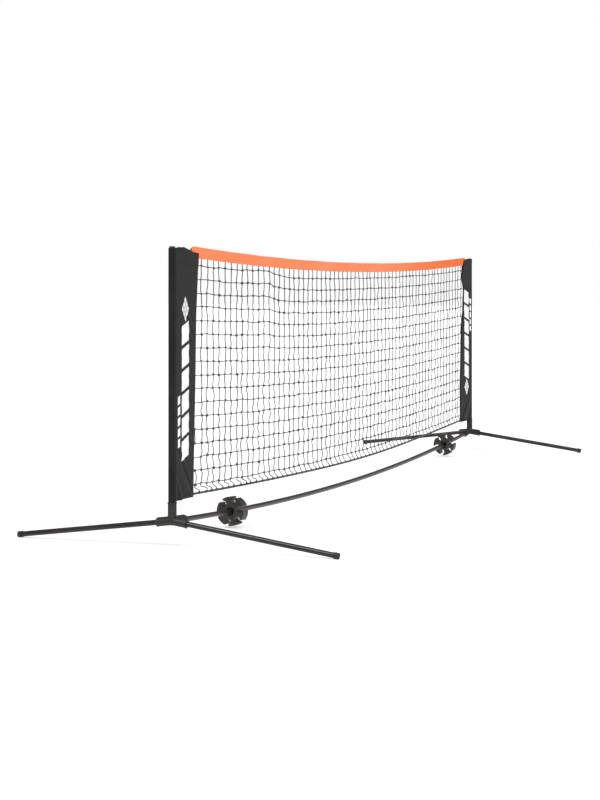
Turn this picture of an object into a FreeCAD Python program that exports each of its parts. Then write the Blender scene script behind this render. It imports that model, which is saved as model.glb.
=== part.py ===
import FreeCAD, Part
import math
import os

# A three-metre portable racket-sports net. Two bases stand on the ground, each with a hub, two
# sloping legs and an upright post, and a sagging spreader bar of four tube sections joins them.
# The net hangs between two cloth sleeves that slide over the posts. Two star-shaped clips ride on
# the spreader and hold the tubes as a bundle when the net is packed away.
# Frame: millimetres, X along the net, Y across it with the front at -Y, Z up, the ground at Z = 0.

V = FreeCAD.Vector
X_AXIS, Y_AXIS, Z_AXIS = V(1, 0, 0), V(0, 1, 0), V(0, 0, 1)

# Driving dimensions of the frame.
HALF_SPAN = 1500.0          # half the distance between the post axes
HUB_Z = 77.0                # height of the point where a hub's sockets cross
TOP_Z = 868.0               # top of the post caps
LEG_REACH = 514.0           # level distance from a hub's centre to the end of a foot cap
LEG_SLOPE = 7.6             # degrees a leg falls from the hub to its foot
SPREADER_LOW_Z = 24.5       # centre of the spreader tube at mid-span

# Tubes, as outer radius and wall.
LEG_R, SPREADER_R, POST_R = 8.0, 8.0, 9.5
WALL = 1.0
POST_WALL = 1.2
FIT = 0.1                   # radial clearance of a tube that is pushed into a socket
BOTTOM_FIT = 0.05           # radial clearance of a spreader end or an inner spigot

# Hubs.
POST_SOCKET_R, POST_SOCKET_TOP = 13.0, 131.0
LEG_SOCKET_R, LEG_SOCKET_LENGTH = 12.0, 48.0
SPREADER_SOCKET_R, SPREADER_SOCKET_LENGTH = 12.0, 78.0
SOCKET_FLOOR = 14.2         # distance from the hub's centre to the floor of a side socket
POST_FLOOR = 91.0           # height of the floor inside the post socket
STOP_GAP = 0.1              # clearance between a tube's end and its socket's floor
LIP, LIP_LENGTH = 1.0, 4.0  # height and length of the bead round each socket's mouth
WEB = 6.0                   # thickness of the small web between the post and spreader sockets
WEB_REACH, WEB_TOP = 22.0, 98.0
RIB, RIB_HEIGHT = 4.5, 2.4  # width and height of the rib along the top of each side socket

# Caps.
FOOT_CAP_R, FOOT_CAP_LENGTH, FOOT_RECESS = 9.5, 14.0, 2.0
CAP_END = 2.0               # thickness of a foot cap's end wall
POST_CAP_HEAD, POST_CAP_PLUG = 5.0, 20.0

# Star clips.
LEFT_CLIP_INSET, RIGHT_CLIP_INSET = 413.0, 377.0   # distance of each clip from its post
CLIP_R, CLIP_THICK, CLIP_ARMS = 45.5, 38.0, 6
CLIP_BORE_R = 8.4
SEAT_R, SEAT_CENTRE = 9.6, 31.5   # round seats, for four legs and two posts
MOUTH_NECK, MOUTH_RIM = 12.0, 16.0  # width of each seat's mouth, inside and at the rim
RECESS_R, RECESS_DEPTH = 13.5, 9.0  # hollow round the spreader in both faces
CLIP_ARM_ANGLE = 14.0       # first arm, counted from +Y towards +Z

# Cloth and cords. Widths count inwards from the post axis.
SLEEVE_BOTTOM, SLEEVE_TOP = 132.5, 866.0
SLEEVE_CORNER_BOTTOM, SLEEVE_CORNER_TOP = 138.0, 858.0
LEFT_SLEEVE = (137.0, 168.0)      # width at the bottom corner and at the top corner
RIGHT_SLEEVE = (144.0, 106.0)
POCKET_R, CLOTH = 10.6, 1.4
POCKET_TAPER = 50.0         # where the two layers of a sleeve come together
FLAP = 3.0                  # thickness of the two joined layers
SEAM_GAP = 0.2              # clearance between the sleeves and what is sewn to them
CORD_GAP = 0.6              # the same at the square-cut ends of the cords
BAND_END_Z, BAND_MID_Z = 851.5, 816.5
BAND_HEIGHT, BAND_THICK, BAND_WALL = 34.0, 6.0, 1.2
HEADLINE_R = 1.5
CORD_END_Z, CORD_MID_Z, CORD_R = 138.5, 101.0, 3.5
NET_THICK = 0.5
OVERRUN = 60.0              # how far the cords and the band are drawn before they are trimmed


def rod(base, direction, radius, length):
    return Part.makeCylinder(radius, length, base, direction)


def tube(base, direction, radius, wall, length):
    return rod(base, direction, radius, length).cut(rod(base, direction, radius - wall, length))


def prism(points, direction):
    """A flat outline, given as points, drawn out along direction."""
    return Part.Face(Part.makePolygon(points + points[:1])).extrude(direction)


def upright_prism(outline, half_depth):
    """An outline in X and Z, drawn out to both sides of the net's plane."""
    points = [V(x, -half_depth, z) for x, z in outline]
    return prism(points, V(0, 2 * half_depth, 0))


def mirrored(shape):
    return shape.mirror(V(0, 0, 0), X_AXIS)


def sag_circle(x0, x1, end_z, mid_z):
    """Centre and radius of the arc that hangs between x0 and x1."""
    half, sag = (x1 - x0) / 2, end_z - mid_z
    radius = (half * half + sag * sag) / (2 * sag)
    return V((x0 + x1) / 2, 0, mid_z + radius), radius


def swept_along(circle, section, x0, x1):
    """A section drawn round the lowest point of a sag circle, carried along it from x0 to x1."""
    centre, radius = circle
    start, end = (math.degrees(math.asin((x - centre.x) / radius)) for x in (x0, x1))
    first = section.copy()
    first.rotate(centre, Y_AXIS, -start)
    return first.revolve(centre, -Y_AXIS, end - start)


def round_section(centre, radius):
    return Part.Face(Part.Wire(Part.makeCircle(radius, centre, X_AXIS)))


SPREADER_LINE = sag_circle(-HALF_SPAN, HALF_SPAN, HUB_Z, SPREADER_LOW_Z)
LEFT_HUB = V(-HALF_SPAN, 0, HUB_Z)


def leg_direction(front):
    slope = math.radians(LEG_SLOPE)
    return V(0, -math.cos(slope) if front else math.cos(slope), -math.sin(slope))


def spreader_slope(x):
    """Angle in radians of the spreader at x, falling towards mid-span from the left."""
    return math.asin(x / SPREADER_LINE[1])


def socket(direction, radius, length):
    """The outside of one socket: a barrel from the hub's centre with a bead at its mouth."""
    lip_base = LEFT_HUB + direction * (length - LIP_LENGTH)
    lip = Part.makeCone(radius, radius + LIP, LIP, lip_base, direction)
    bead = rod(lip_base + direction * LIP, direction, radius + LIP, LIP_LENGTH - LIP)
    return rod(LEFT_HUB, direction, radius, length).fuse([lip, bead])


def web():
    """A small web with a hollow-curved edge, between the post's socket and the spreader's."""
    foot = LEFT_HUB - Y_AXIS * (WEB / 2)
    low = foot + X_AXIS * WEB_REACH + Z_AXIS * (SPREADER_SOCKET_R - 3)
    high = foot + X_AXIS * (POST_SOCKET_R - 1) + Z_AXIS * (WEB_TOP - HUB_Z)
    curve = Part.Arc(low, (low + high) * 0.5 - (X_AXIS + Z_AXIS) * 1.5, high)
    axis_top = foot + Z_AXIS * (WEB_TOP - HUB_Z)
    edges = [curve.toShape(), Part.makeLine(high, axis_top), Part.makeLine(axis_top, foot),
             Part.makeLine(foot, low)]
    return Part.Face(Part.Wire(edges)).extrude(Y_AXIS * WEB)


def rib(direction, radius, length):
    """A rib along the top of a side socket."""
    side = V(direction.y, -direction.x, 0).normalize()
    up = side.cross(direction) if side.cross(direction).z > 0 else direction.cross(side)
    corner = LEFT_HUB - side * (RIB / 2) + direction * POST_SOCKET_R
    run = direction * (length - POST_SOCKET_R - LIP_LENGTH / 2)
    top = up * (radius + RIB_HEIGHT)
    return prism([corner, corner + side * RIB, corner + side * RIB + top, corner + top], run)


def left_hub():
    """Five sockets on one crossing point: two for legs, one for the spreader, one for the post."""
    legs = [leg_direction(True), leg_direction(False)]
    slope = spreader_slope(-HALF_SPAN)
    inward = V(math.cos(slope), 0, math.sin(slope))
    outside = [socket(d, LEG_SOCKET_R, LEG_SOCKET_LENGTH) for d in legs]
    outside += [rib(d, LEG_SOCKET_R, LEG_SOCKET_LENGTH) for d in legs]
    outside.append(socket(inward, SPREADER_SOCKET_R, SPREADER_SOCKET_LENGTH))
    outside.append(rib(inward, SPREADER_SOCKET_R, SPREADER_SOCKET_LENGTH))
    outside.append(socket(Z_AXIS, POST_SOCKET_R, POST_SOCKET_TOP - HUB_Z))
    outside.append(web())
    bores = [rod(LEFT_HUB + d * SOCKET_FLOOR, d, LEG_R + FIT, LEG_SOCKET_LENGTH) for d in legs]
    low = round_section(V(0, 0, SPREADER_LOW_Z), SPREADER_R + BOTTOM_FIT)
    bores.append(swept_along(SPREADER_LINE, low, -HALF_SPAN + SOCKET_FLOOR,
                             -HALF_SPAN + SPREADER_SOCKET_LENGTH + 10))
    bores.append(rod(V(-HALF_SPAN, 0, POST_FLOOR), Z_AXIS, POST_R + FIT,
                     POST_SOCKET_TOP - POST_FLOOR + 1))
    body = Part.makeSphere(POST_SOCKET_R, LEFT_HUB).fuse(outside)
    return body.cut(bores).removeSplitter()


def left_leg(front):
    direction = leg_direction(front)
    start = SOCKET_FLOOR + STOP_GAP
    length = LEG_REACH / math.cos(math.radians(LEG_SLOPE)) - FOOT_RECESS - CAP_END - start
    return tube(LEFT_HUB + direction * start, direction, LEG_R, WALL, length)


def left_foot_cap(front):
    """A cap pushed over the end of a leg, with a recessed end and a flat where it stands."""
    direction = leg_direction(front)
    end = LEFT_HUB + direction * (LEG_REACH / math.cos(math.radians(LEG_SLOPE)))
    cap = rod(end, -direction, FOOT_CAP_R, FOOT_CAP_LENGTH)
    cap = cap.cut(rod(end, -direction, FOOT_CAP_R - 3.0, FOOT_RECESS))
    inside = end - direction * (FOOT_RECESS + CAP_END)
    cap = cap.cut(rod(inside, -direction, LEG_R, FOOT_CAP_LENGTH))
    half = 4 * FOOT_CAP_R
    ground = Part.makeBox(2 * half, 2 * half, half, V(end.x - half, end.y - half, -half))
    return cap.cut(ground)


def left_post():
    bottom = POST_FLOOR + STOP_GAP
    return tube(V(-HALF_SPAN, 0, bottom), Z_AXIS, POST_R, POST_WALL,
                TOP_Z - POST_CAP_HEAD - bottom)


def left_post_cap():
    shoulder = V(-HALF_SPAN, 0, TOP_Z - POST_CAP_HEAD)
    head = Part.makeCone(POST_R, POST_R - 2.0, POST_CAP_HEAD, shoulder, Z_AXIS)
    return head.fuse(rod(shoulder, -Z_AXIS, POST_R - POST_WALL, POST_CAP_PLUG))


def spreader_section(index):
    """One of the four equal sections, counted from the left."""
    reach = HALF_SPAN - SOCKET_FLOOR - 1.0
    x0 = max(-HALF_SPAN + index * HALF_SPAN / 2, -reach)
    x1 = min(-HALF_SPAN + (index + 1) * HALF_SPAN / 2, reach)
    middle = V(0, 0, SPREADER_LOW_Z)
    outer = swept_along(SPREADER_LINE, round_section(middle, SPREADER_R), x0, x1)
    inner = swept_along(SPREADER_LINE, round_section(middle, SPREADER_R - WALL), x0, x1)
    return outer.cut(inner)


def spigot(x):
    """The inner sleeve that joins two sections at x."""
    circle = round_section(V(0, 0, SPREADER_LOW_Z), SPREADER_R - WALL - BOTTOM_FIT)
    return swept_along(SPREADER_LINE, circle, x - 50.0, x + 50.0)


def clip_outline():
    """The star's outline in its own plane: a disc with six round seats that open outwards."""
    disc = Part.Face(Part.Wire(Part.makeCircle(CLIP_R, V(0, 0, 0), X_AXIS)))
    cuts = []
    for arm in range(CLIP_ARMS):
        angle = math.radians(CLIP_ARM_ANGLE + (arm + 0.5) * 360.0 / CLIP_ARMS)
        out, across = V(0, math.cos(angle), math.sin(angle)), V(0, -math.sin(angle), math.cos(angle))
        cuts.append(Part.Face(Part.Wire(Part.makeCircle(SEAT_R, out * SEAT_CENTRE, X_AXIS))))
        neck, rim = MOUTH_NECK / 2, MOUTH_RIM / 2
        mouth = [out * SEAT_CENTRE - across * neck, out * (CLIP_R - 5) - across * neck,
                 out * (CLIP_R + 3) - across * rim, out * (CLIP_R + 3) + across * rim,
                 out * (CLIP_R - 5) + across * neck, out * SEAT_CENTRE + across * neck]
        cuts.append(Part.Face(Part.makePolygon(mouth + mouth[:1])))
    return disc.cut(cuts)


def left_clip(inset):
    x = -HALF_SPAN + inset
    centre, radius = SPREADER_LINE
    z = centre.z - math.sqrt(radius * radius - x * x)
    star = clip_outline().Faces[0].extrude(X_AXIS * CLIP_THICK)
    star.translate(V(-CLIP_THICK / 2, 0, 0))
    star = star.cut(rod(V(-CLIP_THICK, 0, 0), X_AXIS, CLIP_BORE_R, 2 * CLIP_THICK))
    for way in (-1, 1):
        face = V(way * CLIP_THICK / 2, 0, 0)
        star = star.cut(rod(face, V(-way, 0, 0), RECESS_R, RECESS_DEPTH))
    star.rotate(V(0, 0, 0), Y_AXIS, -math.degrees(spreader_slope(x)))
    star.translate(V(x, 0, z))
    return star


def sleeve_corners(widths):
    """Inner edge of a sleeve, from its bottom corner to its top corner, for the left post."""
    bottom, top = widths
    return [(-HALF_SPAN + bottom, SLEEVE_CORNER_BOTTOM), (-HALF_SPAN + top, SLEEVE_CORNER_TOP)]


def teardrop(radius, tail_x, tail_half, far_x):
    """A pocket's outline in plan: round the post, then tapering to a flat tail."""
    cx = -HALF_SPAN
    lean = math.asin((radius - tail_half) / tail_x)
    touch = V(cx + radius * math.sin(lean), radius * math.cos(lean), 0)
    back = V(cx - radius, 0, 0)
    low = V(touch.x, -touch.y, 0)
    edges = [Part.Arc(low, back, touch).toShape()]
    tail = [touch, V(cx + tail_x, tail_half, 0), V(far_x, tail_half, 0),
            V(far_x, -tail_half, 0), V(cx + tail_x, -tail_half, 0), low]
    edges += [Part.makeLine(a, b) for a, b in zip(tail, tail[1:])]
    return Part.Face(Part.Wire(edges))


def left_sleeve(widths):
    """A cloth sleeve: a pocket round the post that narrows to a flat panel beside the net."""
    outer = teardrop(POCKET_R + CLOTH, POCKET_TAPER, FLAP / 2, -HALF_SPAN + max(widths))
    inner = teardrop(POCKET_R, POCKET_TAPER - 8.0, 0.5, -HALF_SPAN + POCKET_TAPER - 7.0)
    wall = outer.cut(inner).Faces[0]
    wall.translate(V(0, 0, SLEEVE_BOTTOM - 1))
    wall = wall.extrude(Z_AXIS * (SLEEVE_TOP - SLEEVE_BOTTOM + 2))
    post_edge = -HALF_SPAN - 2 * POCKET_R
    inner_of_post = -HALF_SPAN + 2 * POCKET_R
    side = [(post_edge, SLEEVE_BOTTOM), (inner_of_post, SLEEVE_BOTTOM)] + sleeve_corners(widths)
    side += [(inner_of_post, SLEEVE_TOP), (post_edge, SLEEVE_TOP)]
    return wall.common(upright_prism(side, 2 * POCKET_R))


def between_sleeves():
    """The space that the net, the band and the cords fill, trimmed along both sleeves."""
    (x0, z0), (x1, z1) = sleeve_corners(LEFT_SLEEVE)
    (x2, z2), (x3, z3) = sleeve_corners(RIGHT_SLEEVE)
    left_lean, right_lean = (x1 - x0) / (z1 - z0), (x3 - x2) / (z3 - z2)
    low, high = SLEEVE_BOTTOM - OVERRUN, SLEEVE_TOP + OVERRUN
    outline = [(x0 + left_lean * (low - z0) + SEAM_GAP, low),
               (-(x2 + right_lean * (low - z2)) - SEAM_GAP, low),
               (-(x2 + right_lean * (high - z2)) - SEAM_GAP, high),
               (x0 + left_lean * (high - z0) + SEAM_GAP, high)]
    return upright_prism(outline, 2 * POCKET_R)


BAND_LINE = sag_circle(-HALF_SPAN + LEFT_SLEEVE[1], HALF_SPAN - RIGHT_SLEEVE[1],
                       BAND_END_Z, BAND_MID_Z)
CORD_LINE = sag_circle(-HALF_SPAN + LEFT_SLEEVE[0], HALF_SPAN - RIGHT_SLEEVE[0],
                       CORD_END_Z, CORD_MID_Z)


def hung(circle, section):
    """A section carried along a sag circle past both sleeves, then trimmed between them."""
    whole = swept_along(circle, section, -HALF_SPAN + OVERRUN, HALF_SPAN - OVERRUN)
    return whole.common(between_sleeves())


def box_section(x, half_thick, low, high):
    corners = [V(x, -half_thick, low), V(x, half_thick, low),
               V(x, half_thick, high), V(x, -half_thick, high)]
    return Part.Face(Part.makePolygon(corners + corners[:1]))


def headband():
    """The tape along the top edge, folded over the headline and closed underneath."""
    x, half = BAND_LINE[0].x, BAND_HEIGHT / 2
    outer = box_section(x, BAND_THICK / 2, BAND_MID_Z - half, BAND_MID_Z + half)
    inner = box_section(x, BAND_THICK / 2 - BAND_WALL, BAND_MID_Z - half + 4,
                        BAND_MID_Z + half - BAND_WALL)
    return hung(BAND_LINE, outer.cut(inner).Faces[0])


def cord(circle, middle, radius, widths):
    """A round cord along a sag circle, from one sleeve's edge to the other's."""
    ends = [-HALF_SPAN + widths[0] + CORD_GAP, HALF_SPAN - widths[1] - CORD_GAP]
    return swept_along(circle, round_section(middle, radius), *ends)


def headline_cord():
    top = BAND_MID_Z + BAND_HEIGHT / 2 - BAND_WALL - HEADLINE_R - 0.3
    return cord(BAND_LINE, V(BAND_LINE[0].x, 0, top), HEADLINE_R, (LEFT_SLEEVE[1], RIGHT_SLEEVE[1]))


def bottom_cord():
    return cord(CORD_LINE, V(CORD_LINE[0].x, 0, CORD_MID_Z), CORD_R, (LEFT_SLEEVE[0], RIGHT_SLEEVE[0]))


def net_mesh():
    """The netting as one thin plate between the band and the bottom cord."""
    x0, x1 = -HALF_SPAN + OVERRUN, HALF_SPAN - OVERRUN

    def edge_z(circle, offset, x):
        centre, radius = circle
        reach = radius - offset
        return centre.z - math.sqrt(reach * reach - (x - centre.x) ** 2)

    def edge(circle, offset):
        points = [V(x, -NET_THICK / 2, edge_z(circle, offset, x)) for x in (x0, (x0 + x1) / 2, x1)]
        return Part.Arc(*points).toShape(), points[0], points[-1]

    low, low_left, low_right = edge(CORD_LINE, CORD_R + SEAM_GAP)
    high, high_left, high_right = edge(BAND_LINE, -BAND_HEIGHT / 2 - SEAM_GAP)
    sides = [Part.makeLine(low_right, high_right), Part.makeLine(high_left, low_left)]
    plate = Part.Face(Part.Wire(Part.__sortEdges__([low, sides[0], high, sides[1]])))
    return plate.extrude(Y_AXIS * NET_THICK).common(between_sleeves())


def build():
    """Every sub-part by its node name."""
    nodes = {}
    for side, place in (("left", lambda shape: shape), ("right", mirrored)):
        nodes[side + "_base_hub"] = place(left_hub())
        for end, front in (("front", True), ("rear", False)):
            nodes[side + "_" + end + "_leg"] = place(left_leg(front))
            nodes[side + "_" + end + "_foot_cap"] = place(left_foot_cap(front))
        nodes[side + "_post"] = place(left_post())
        nodes[side + "_post_cap"] = place(left_post_cap())
    nodes["left_star_clip"] = left_clip(LEFT_CLIP_INSET)
    nodes["right_star_clip"] = mirrored(left_clip(RIGHT_CLIP_INSET))
    nodes["left_sleeve"] = left_sleeve(LEFT_SLEEVE)
    nodes["right_sleeve"] = mirrored(left_sleeve(RIGHT_SLEEVE))
    for index, name in enumerate(("left_outer", "left_inner", "right_inner", "right_outer")):
        nodes["spreader_" + name] = spreader_section(index)
    for name, x in (("left", -HALF_SPAN / 2), ("middle", 0.0), ("right", HALF_SPAN / 2)):
        nodes[name + "_spigot"] = spigot(x)
    nodes["headband"] = headband()
    nodes["headline_cord"] = headline_cord()
    nodes["bottom_cord"] = bottom_cord()
    nodes["net_mesh"] = net_mesh()
    return nodes


def main():
    os.makedirs("parts", exist_ok=True)
    for name, shape in build().items():
        solids = shape.Solids
        solid = solids[0] if len(solids) == 1 else Part.makeCompound(solids)
        box = solid.BoundBox
        print(f"{name:22s} solids {len(solids)} valid {solid.isValid()} volume {solid.Volume:11.1f} "
              f"x {box.XMin:8.1f} {box.XMax:8.1f} y {box.YMin:7.1f} {box.YMax:7.1f} "
              f"z {box.ZMin:6.1f} {box.ZMax:6.1f}")
        solid.exportStep(os.path.join("parts", name + ".step"))


main()
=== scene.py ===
"""A three-metre portable racket-sports net, dressed for a studio picture.

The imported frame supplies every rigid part: hubs, legs, posts, spreader tubes, star clips and caps.
This script gives those parts their finishes and makes the soft goods between the posts: two cloth
sleeves with their hems, stitches and print, the bright folded tape along the top, the knotted
netting and the cord under it. Lengths are metres; X runs along the net, the front faces -Y and the
ground is at Z = 0.
"""

import logging
import math
import random
from contextlib import contextmanager
from dataclasses import dataclass, field
from enum import Enum
from itertools import accumulate
from typing import Any, Iterator, Optional, Sequence, Union

import bpy
from mathutils import Matrix, Vector


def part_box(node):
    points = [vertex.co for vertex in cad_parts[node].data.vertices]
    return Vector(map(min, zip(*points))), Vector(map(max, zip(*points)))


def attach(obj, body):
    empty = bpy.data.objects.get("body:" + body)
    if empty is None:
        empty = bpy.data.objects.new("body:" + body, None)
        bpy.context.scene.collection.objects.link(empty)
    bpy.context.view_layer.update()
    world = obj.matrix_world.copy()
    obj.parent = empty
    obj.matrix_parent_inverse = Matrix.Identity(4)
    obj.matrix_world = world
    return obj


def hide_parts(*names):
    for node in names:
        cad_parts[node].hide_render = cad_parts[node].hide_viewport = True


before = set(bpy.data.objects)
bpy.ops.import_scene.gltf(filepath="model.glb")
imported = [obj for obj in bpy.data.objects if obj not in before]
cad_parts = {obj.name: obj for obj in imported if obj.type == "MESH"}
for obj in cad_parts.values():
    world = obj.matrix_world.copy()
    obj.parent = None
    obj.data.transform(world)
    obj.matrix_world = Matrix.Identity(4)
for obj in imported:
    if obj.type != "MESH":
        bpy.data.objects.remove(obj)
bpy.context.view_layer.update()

log = logging.getLogger("net")
Colour = tuple[float, float, float, float]
Number = Union[int, float]
MM = 0.001
NET_BODY = "net"


def grey(level: float, warmth: float = 0.0) -> Colour:
    """A linear grey, a little redder and less blue as warmth grows."""
    return (level * (1 + warmth), level, level * (1 - warmth), 1.0)


def steps(first: float, last: float, count: int) -> list[float]:
    """Evenly spaced numbers from first to last, both included."""
    return [first + (last - first) * k / (count - 1) for k in range(count)]


def smooth(low: float, high: float, value: float) -> float:
    """0 up to low, 1 from high on, and a smooth step between them."""
    t = min(1.0, max(0.0, (value - low) / (high - low)))
    return t * t * (3 - 2 * t)


@dataclass(frozen=True)
class Profile:
    """A smooth line through a few chosen points.

    Attributes:
        points: Pairs of place and value, in rising order of place.
    """

    points: tuple[tuple[float, float], ...]

    def __call__(self, place: float) -> float:
        """The value at a place.

        Args:
            place: Where the line is read. Past either end the end's value holds.

        Returns:
            The value there, on a Catmull-Rom curve through the points.
        """
        pts = self.points
        if place <= pts[0][0]:
            return pts[0][1]
        if place >= pts[-1][0]:
            return pts[-1][1]
        k = next(i for i in range(len(pts) - 1) if place <= pts[i + 1][0])
        (x0, y0), (x1, y1) = pts[k], pts[k + 1]
        before, after = pts[max(k - 1, 0)], pts[min(k + 2, len(pts) - 1)]
        run = x1 - x0
        slope0 = (y1 - before[1]) / (x1 - before[0]) * run
        slope1 = (after[1] - y0) / (after[0] - x0) * run
        t = (place - x0) / run
        t2, t3 = t * t, t * t * t
        return ((2 * t3 - 3 * t2 + 1) * y0 + (t3 - 2 * t2 + t) * slope0
                + (3 * t2 - 2 * t3) * y1 + (t3 - t2) * slope1)


@dataclass(frozen=True)
class SagLine:
    """A line that hangs in a shallow arc between two ends.

    Attributes:
        start: X of the left end.
        end: X of the right end.
        end_z: Height of both ends.
        low_z: Height at mid-span.
    """

    start: float
    end: float
    end_z: float
    low_z: float

    @classmethod
    def inside(cls, node: str, half_height: float) -> "SagLine":
        """The middle line of a hanging CAD node.

        Args:
            node: The node's name.
            half_height: Half the height of its section.

        Returns:
            The line from one end of the node to the other.
        """
        low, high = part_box(node)
        return cls(low.x, high.x, high.z - half_height, low.z + half_height)

    def z(self, x: float) -> float:
        """The line's height at x."""
        across = (2 * x - self.start - self.end) / (self.end - self.start)
        return self.low_z + (self.end_z - self.low_z) * across ** 2


# ----------------------------------------------------------------------------- shader expressions


class Signal:
    """A shader output that takes part in arithmetic; each operation adds a Math node."""

    def __init__(self, paint: "Paint", output: bpy.types.NodeSocket) -> None:
        """Wraps one output socket of a finish under construction."""
        self.paint = paint
        self.output = output

    def math(self, operation: str, *values: Union["Signal", Number]) -> "Signal":
        """Adds a Math node.

        Args:
            operation: The Math node's operation.
            values: Its inputs in order.

        Returns:
            The node's output.
        """
        node = self.paint.node("ShaderNodeMath", {"operation": operation}, dict(enumerate(values)))
        return Signal(self.paint, node.outputs[0])

    def __add__(self, other: Union["Signal", Number]) -> "Signal":
        """Adds."""
        return self.math("ADD", self, other)

    __radd__ = __add__

    def __sub__(self, other: Union["Signal", Number]) -> "Signal":
        """Subtracts."""
        return self.math("SUBTRACT", self, other)

    def __mul__(self, other: Union["Signal", Number]) -> "Signal":
        """Multiplies."""
        return self.math("MULTIPLY", self, other)

    __rmul__ = __mul__

    def sine(self) -> "Signal":
        """The sine of a value in radians."""
        return self.math("SINE", self)

    def halved(self) -> "Signal":
        """Maps -1 to 0 and 1 to 1."""
        return self * 0.5 + 0.5

    def clip(self, low: Number, high: Number) -> "Signal":
        """Maps low to 0 and high to 1, held at those ends."""
        node = self.paint.node("ShaderNodeMapRange", {"clamp": True, "interpolation_type": "SMOOTHSTEP"},
                               {"Value": self, "From Min": low, "From Max": high})
        return Signal(self.paint, node.outputs[0])


class Paint:
    """A material under construction, with its Principled shader."""

    def __init__(self, name: str) -> None:
        """Starts an empty material with a Principled shader joined to its output."""
        self.material = bpy.data.materials.new(name)
        self.material.use_nodes = True
        self.tree = self.material.node_tree
        self.tree.nodes.clear()
        self.shader = self.node("ShaderNodeBsdfPrincipled")
        self.node("ShaderNodeOutputMaterial", {}, {"Surface": self.shader.outputs[0]})

    def node(self, kind: str, settings: Optional[dict[str, Any]] = None,
             inputs: Optional[dict[Union[str, int], Any]] = None) -> bpy.types.Node:
        """Adds any node.

        Args:
            kind: The node's type.
            settings: Its properties, set before the sockets.
            inputs: Values or links for its sockets, by name or index.

        Returns:
            The new node.
        """
        node = self.tree.nodes.new(kind)
        for key, value in (settings or {}).items():
            setattr(node, key, value)
        self.feed(node, inputs or {})
        return node

    def feed(self, node: bpy.types.Node, inputs: dict[Union[str, int], Any]) -> None:
        """Sets or links sockets of a node.

        Args:
            node: The node.
            inputs: Values, signals or output sockets, by socket name or index.
        """
        for key, value in inputs.items():
            source = value.output if isinstance(value, Signal) else value
            if isinstance(source, bpy.types.NodeSocket):
                self.tree.links.new(source, node.inputs[key])
            else:
                node.inputs[key].default_value = source

    def place(self) -> bpy.types.NodeSocket:
        """Object coordinates, in metres in the net's own frame."""
        return self.node("ShaderNodeTexCoord").outputs["Object"]

    def flat_place(self) -> tuple[Signal, Signal]:
        """The piece's own UV map in metres, as its two parts."""
        uv = self.node("ShaderNodeTexCoord").outputs["UV"]
        split = self.node("ShaderNodeSeparateXYZ", {}, {0: uv})
        return Signal(self, split.outputs[0]), Signal(self, split.outputs[1])

    def axis(self, index: int) -> Signal:
        """One of the three object coordinates."""
        split = self.node("ShaderNodeSeparateXYZ", {}, {0: self.place()})
        return Signal(self, split.outputs[index])

    def noise(self, scale: float, detail: float = 3.0,
              stretch: tuple[float, float, float] = (1.0, 1.0, 1.0)) -> Signal:
        """Fractal noise on object coordinates.

        Args:
            scale: Features per metre.
            detail: Octaves of finer noise.
            stretch: Scale along each axis.

        Returns:
            A signal about 0.5.
        """
        mapped = self.node("ShaderNodeMapping", {}, {"Vector": self.place(), "Scale": stretch})
        noise = self.node("ShaderNodeTexNoise", {},
                          {"Vector": mapped.outputs[0], "Scale": scale, "Detail": detail})
        return Signal(self, noise.outputs["Fac"])

    def mix(self, mask: Signal, first: Any, second: Any) -> bpy.types.NodeSocket:
        """Mixes two colours.

        Args:
            mask: 0 gives the first colour and 1 the second.
            first: A colour or a colour output.
            second: A colour or a colour output.

        Returns:
            The mixed colour's output.
        """
        node = self.node("ShaderNodeMix", {"data_type": "RGBA"}, {0: mask, 6: first, 7: second})
        return node.outputs[2]

    def relief(self, height: Signal, depth: float) -> None:
        """Turns a height signal into surface relief.

        Args:
            height: The signal; 0 to 1 spans the whole depth.
            depth: That depth in metres.
        """
        bump = self.node("ShaderNodeBump", {}, {"Strength": 1.0, "Distance": depth, "Height": height})
        self.feed(self.shader, {"Normal": bump.outputs[0]})


@dataclass(frozen=True)
class PowderCoat:
    """Satin powder coat on steel tube: faint orange peel, rubbed a little along its length."""

    name: str
    base: Colour = (0.0085, 0.0066, 0.0058, 1.0)
    rubbed: Colour = (0.022, 0.018, 0.016, 1.0)
    roughness: float = 0.29
    peel: float = 0.00003

    def build(self) -> bpy.types.Material:
        """Makes the material."""
        paint = Paint(self.name)
        cloud = paint.noise(9.0, 4.0)
        scuffs = paint.noise(160.0, 2.0, (0.25, 0.25, 0.25)).clip(0.60, 0.74)
        peel = paint.noise(1500.0, 1.0)
        mask = cloud.clip(0.35, 0.75) * 0.55 + scuffs * 0.35
        paint.feed(paint.shader, {
            "Base Color": paint.mix(mask, self.base, self.rubbed),
            "Roughness": cloud * 0.12 + scuffs * 0.10 + (self.roughness - 0.06),
            "Specular IOR Level": 0.38,
        })
        paint.relief(peel, self.peel)
        return paint.material


@dataclass(frozen=True)
class Moulding:
    """Moulded plastic with a spark-eroded grain and faint flow marks."""

    name: str
    base: Colour
    pale: Colour
    roughness: float = 0.48
    grain: float = 0.00005
    grain_scale: float = 1800.0

    def build(self) -> bpy.types.Material:
        """Makes the material."""
        paint = Paint(self.name)
        flow = paint.noise(24.0, 3.0, (1.0, 1.0, 2.2))
        grain = paint.noise(self.grain_scale, 2.0)
        speck = paint.noise(420.0, 2.0).clip(0.52, 0.72)
        mask = flow.clip(0.38, 0.70) * 0.6 + speck * 0.3
        paint.feed(paint.shader, {
            "Base Color": paint.mix(mask, self.base, self.pale),
            "Roughness": flow * 0.16 + grain * 0.08 + (self.roughness - 0.12),
            "Specular IOR Level": 0.36,
        })
        paint.relief(grain * 0.8 + flow * 0.6, self.grain)
        return paint.material


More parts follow.
